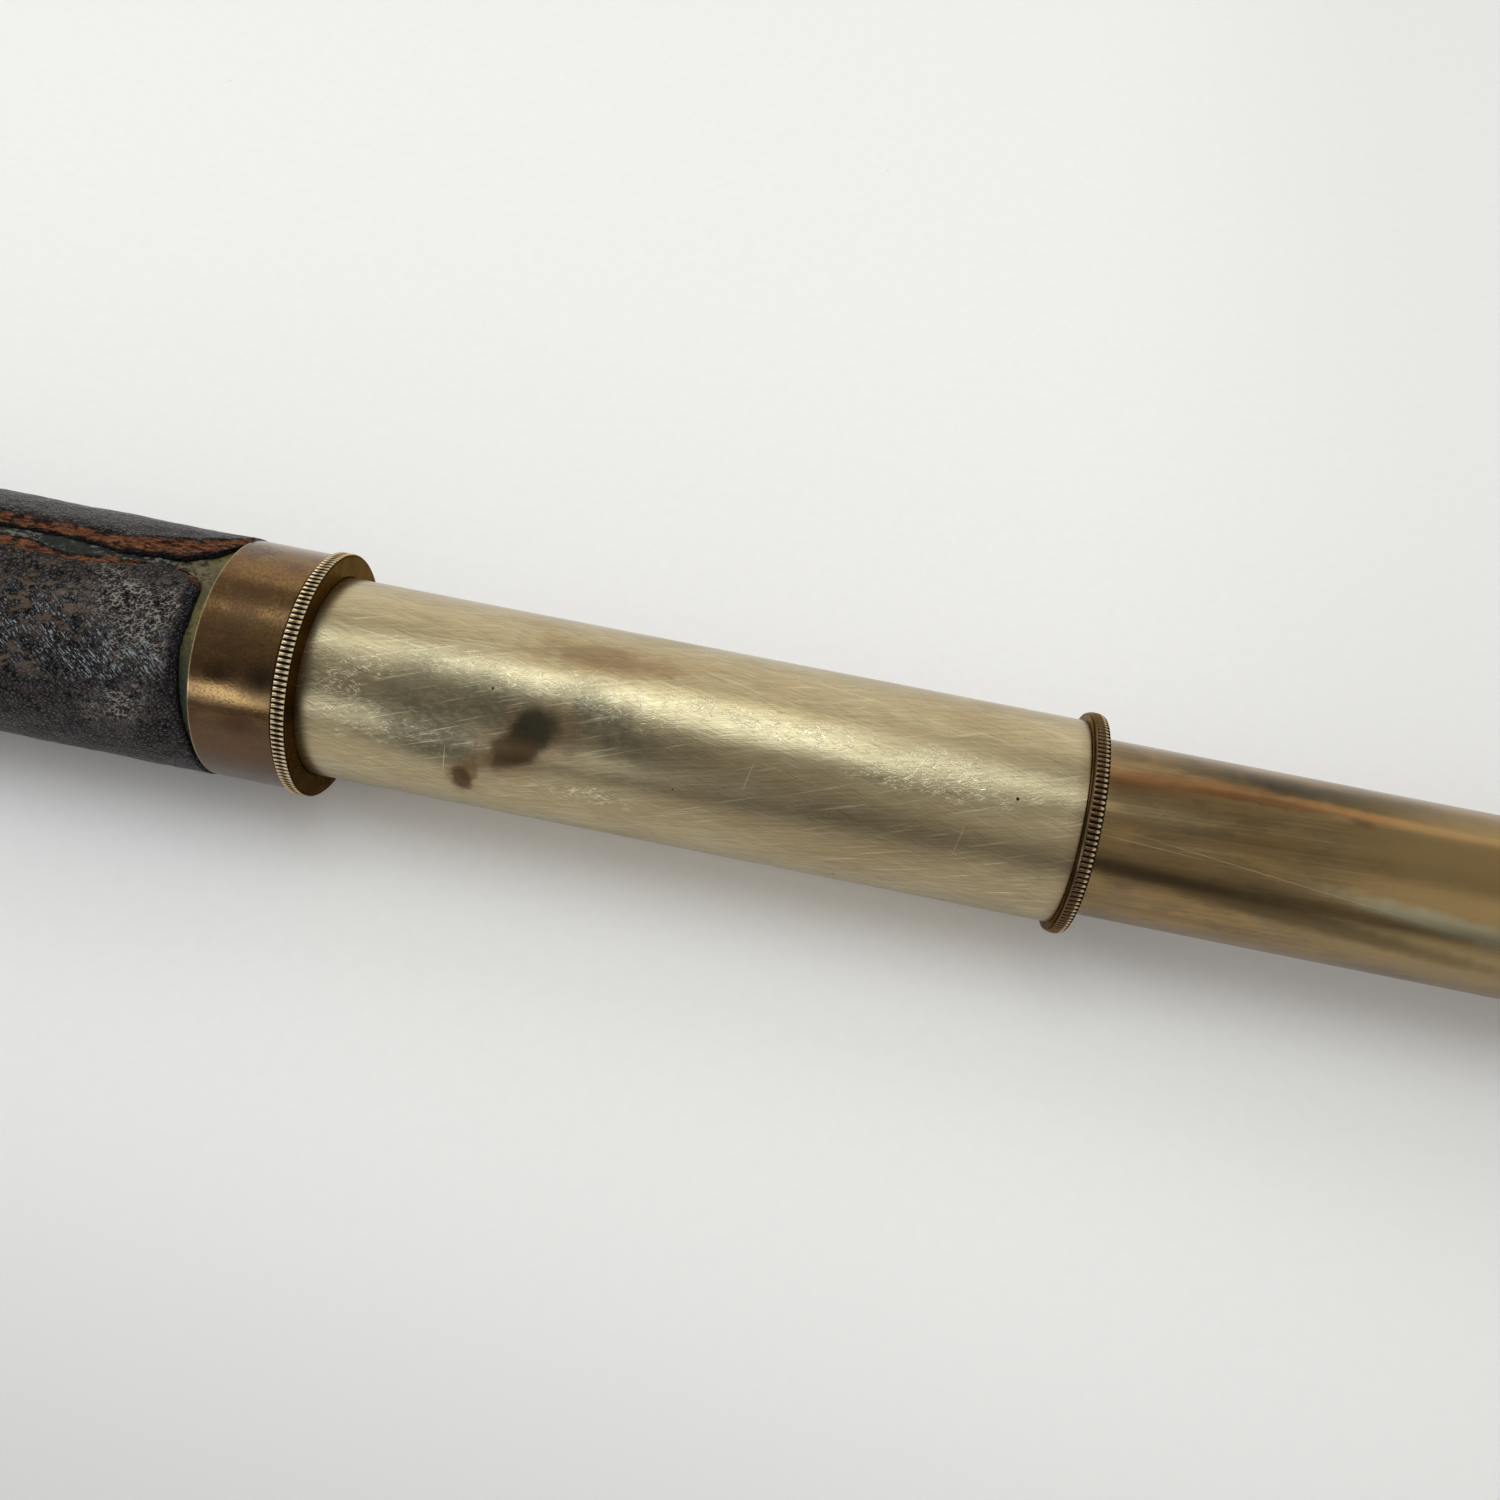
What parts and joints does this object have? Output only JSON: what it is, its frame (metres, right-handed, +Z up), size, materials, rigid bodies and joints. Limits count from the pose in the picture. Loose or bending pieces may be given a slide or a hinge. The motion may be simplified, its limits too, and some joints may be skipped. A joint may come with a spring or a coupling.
{
  "type": "hand telescope",
  "caption": "Brass refracting hand telescope with a leather-covered barrel, sliding draw tubes with milled guide rings, and a shuttered eye cup.",
  "frame": {"origin": "on the surface that the drawn-out telescope lies on, under the middle of its length", "axes": "+X along the optical axis from the objective to the eyepiece, +Z up, +Y away from a viewer who sees the objective on the left"},
  "size_m": [0.5572, 0.0408, 0.0409],
  "materials": {
    "browned_brass": "old lacquered brass, browned, satin",
    "bright_brass": "bare brass, rubbed pale, finely scratched and stained",
    "aged_brass": "bare drawn brass, darkened, with lengthwise streaks",
    "blackened_brass": "chemically blackened, matt",
    "leather": "dark brown grained leather, worn, glued on",
    "optical_glass": "polished"
  },
  "bodies": {
    "barrel": {"barrel_tube": "aged_brass", "leather_cover": "leather", "barrel_ferrule": "browned_brass", "barrel_guide_ring": "browned_brass", "barrel_guide_sleeve": "browned_brass", "barrel_diaphragm": "blackened_brass", "objective_ferrule": "browned_brass", "objective_cell": "browned_brass", "objective_crown_lens": "optical_glass", "objective_flint_lens": "optical_glass", "objective_retaining_ring": "blackened_brass"},
    "draw_1": {"draw_1_tube": "bright_brass", "draw_1_guide_ring": "browned_brass", "draw_1_guide_sleeve": "browned_brass", "draw_1_stop_ring": "browned_brass", "draw_1_diaphragm": "blackened_brass"},
    "draw_2": {"draw_2_tube": "aged_brass", "draw_2_guide_ring": "browned_brass", "draw_2_guide_sleeve": "browned_brass", "draw_2_stop_ring": "browned_brass", "draw_2_diaphragm": "blackened_brass"},
    "draw_3": {"draw_3_tube": "aged_brass", "draw_3_stop_ring": "browned_brass", "erector_mount": "browned_brass", "erector_tube": "blackened_brass", "erector_front_ring": "browned_brass", "erector_front_lens": "optical_glass", "erector_stop": "blackened_brass", "erector_rear_lens": "optical_glass", "erector_rear_ring": "browned_brass", "eyepiece_tube": "blackened_brass", "field_lens_ring": "browned_brass", "field_lens": "optical_glass", "field_stop": "blackened_brass", "eye_lens_cell": "blackened_brass", "eye_lens": "optical_glass", "eyepiece_cup": "browned_brass", "shutter_pivot_screw": "browned_brass"},
    "shutter": {"eye_shutter": "browned_brass", "shutter_knob": "browned_brass"}
  },
  "joints": [
    {"name": "draw_1_slide", "type": "slide", "parent": "barrel", "child": "draw_1", "axis": [1, 0, 0], "range_m": [-0.1215, 0]},
    {"name": "draw_2_slide", "type": "slide", "parent": "draw_1", "child": "draw_2", "axis": [1, 0, 0], "range_m": [-0.1215, 0]},
    {"name": "draw_3_slide", "type": "slide", "parent": "draw_2", "child": "draw_3", "axis": [1, 0, 0], "range_m": [-0.1215, 0]},
    {"name": "eye_shutter_hinge", "type": "hinge", "parent": "draw_3", "child": "shutter", "pos_m": [0.27512, 0, 0.02593], "axis": [1, 0, 0], "range_deg": [-78, 0]}
  ]
}
